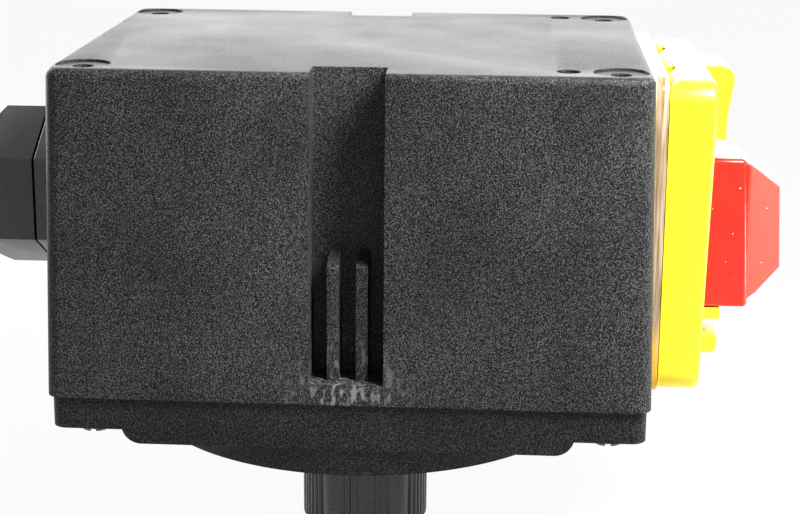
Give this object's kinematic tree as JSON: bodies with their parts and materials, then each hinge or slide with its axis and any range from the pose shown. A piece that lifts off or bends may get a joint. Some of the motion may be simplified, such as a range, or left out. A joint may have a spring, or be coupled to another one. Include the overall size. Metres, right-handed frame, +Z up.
{
  "type": "concrete mixer switch",
  "caption": "Boxed push-button switch for a concrete mixer, with a hinged yellow lid, a red stop pad, a side cable gland and a round flange with a second gland.",
  "frame": {"origin": "centre of the round flange's underside, on the axis of the cable gland that stands under it", "axes": "+Z up from the flange to the case's flat back, +X out of the lid's end with the stop pad, -Y towards the near long side of the picture"},
  "size_m": [0.1617, 0.0878, 0.1005],
  "materials": {
    "case_black": "grained black",
    "gland_black": "satin black",
    "lid_yellow": "bright yellow",
    "stop_red": "glossy red",
    "start_green": "glossy green",
    "switch_grey": "fine grained dark grey",
    "insulator": "brown moulding",
    "bobbin_white": "natural nylon",
    "seal_clear": "translucent, slightly amber",
    "rubber_black": "matt black",
    "screw_black": "blackened",
    "zinc_steel": "zinc plated",
    "spring_steel": "bright",
    "core_steel": "stacked sheets",
    "copper_wire": "enamelled copper",
    "contact_brass": "bright"
  },
  "bodies": {
    "case_body": {"housing": "case_black", "cover": "case_black", "cover_gasket": "rubber_black", "cover_screws": "screw_black", "side_gland_body": "gland_black", "side_gland_washer": "rubber_black", "side_gland_bush": "rubber_black", "side_gland_nut": "gland_black", "side_gland_locknut": "gland_black", "flange_gland_bush": "rubber_black", "flange_gland_nut": "gland_black", "clear_seal": "seal_clear", "front_frame": "switch_grey", "frame_screws": "zinc_steel", "hinge_pin": "zinc_steel", "switch_body": "switch_grey", "switch_base": "insulator", "base_screws": "zinc_steel", "magnet_core": "core_steel", "coil_bobbin": "bobbin_white", "coil_winding": "copper_wire", "fixed_contacts": "contact_brass", "terminal_blocks": "contact_brass", "terminal_screws": "zinc_steel", "cutout_contacts": "contact_brass", "earth_terminal": "contact_brass", "earth_screw": "zinc_steel", "start_spring": "spring_steel", "stop_spring": "spring_steel"},
    "lid_body": {"lid": "lid_yellow", "stop_pad_spring": "spring_steel"},
    "pad_body": {"stop_pad": "stop_red", "stop_pad_clip": "spring_steel"},
    "start_body": {"start_button": "start_green"},
    "stop_body": {"stop_button": "stop_red"},
    "carrier_body": {"contact_carrier": "insulator", "armature": "core_steel", "moving_contacts": "contact_brass", "contact_springs": "spring_steel"}
  },
  "joints": [
    {"name": "lid_hinge", "type": "hinge", "parent": "case_body", "child": "lid_body", "pos_m": [0.06031, 0, 0.0674], "axis": [0, -1, 0], "range_deg": [0, 95]},
    {"name": "stop_pad_press", "type": "slide", "parent": "lid_body", "child": "pad_body", "axis": [-1, 0, 0], "range_m": [0, 0.003], "stiffness_N_per_m": 600, "springref_m": -0.002, "deforming": ["stop_pad_spring"]},
    {"name": "stop_press", "type": "slide", "parent": "case_body", "child": "stop_body", "axis": [-1, 0, 0], "range_m": [0, 0.003], "deforming": ["stop_spring"]},
    {"name": "start_press", "type": "slide", "parent": "case_body", "child": "start_body", "axis": [-1, 0, 0], "range_m": [0, 0.0035], "stiffness_N_per_m": 500, "springref_m": -0.002, "deforming": ["start_spring"]},
    {"name": "carrier_slide", "type": "slide", "parent": "case_body", "child": "carrier_body", "axis": [-1, 0, 0], "range_m": [0, 0.0035]}
  ],
  "couplings": [
    {"joint": "stop_press", "follows": "stop_pad_press", "ratio": 1},
    {"joint": "carrier_slide", "follows": "start_press", "ratio": 1}
  ]
}
